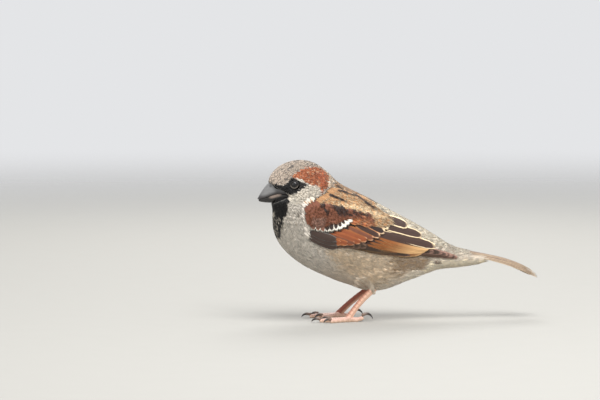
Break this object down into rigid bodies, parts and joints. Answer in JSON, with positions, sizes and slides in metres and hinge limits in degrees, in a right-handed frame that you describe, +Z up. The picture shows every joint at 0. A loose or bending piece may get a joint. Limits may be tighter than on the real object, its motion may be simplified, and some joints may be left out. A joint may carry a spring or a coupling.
{
  "type": "male house sparrow, life-size standing model",
  "caption": "Life-size male house sparrow standing on both feet, head forward and wings folded; a still display model with no joints.",
  "frame": {"origin": "centre of the bird's bounding box, on the flat it stands on", "axes": "-X is the way the bill points, +Z is up, -Y is the bird's left side"},
  "size_m": [0.1494, 0.0422, 0.085],
  "materials": {
    "head_feathers": "matte",
    "neck_feathers": "matte",
    "body_feathers": "matte",
    "thigh_feathers": "matte",
    "rump_feathers": "matte",
    "covert_feathers": "matte",
    "tertial_feathers": "matte",
    "primary_feathers": "matte",
    "tail_feathers": "matte",
    "bill_horn": "satin",
    "eye_dark": "gloss",
    "leg_skin": "satin",
    "claw_horn": "satin"
  },
  "bodies": {
    "root": {"head": "head_feathers", "neck": "neck_feathers", "trunk": "body_feathers", "rump": "rump_feathers", "tail": "tail_feathers", "bill_upper": "bill_horn", "bill_lower": "bill_horn", "eye_L": "eye_dark", "wing_coverts_L": "covert_feathers", "wing_tertials_L": "tertial_feathers", "wing_primaries_L": "primary_feathers", "thigh_L": "thigh_feathers", "tarsus_L": "leg_skin", "foot_L": "leg_skin", "claw_1_L": "claw_horn", "claw_2_L": "claw_horn", "claw_3_L": "claw_horn", "claw_4_L": "claw_horn", "eye_R": "eye_dark", "wing_coverts_R": "covert_feathers", "wing_tertials_R": "tertial_feathers", "wing_primaries_R": "primary_feathers", "thigh_R": "thigh_feathers", "tarsus_R": "leg_skin", "foot_R": "leg_skin", "claw_1_R": "claw_horn", "claw_2_R": "claw_horn", "claw_3_R": "claw_horn", "claw_4_R": "claw_horn"}
  },
  "joints": []
}
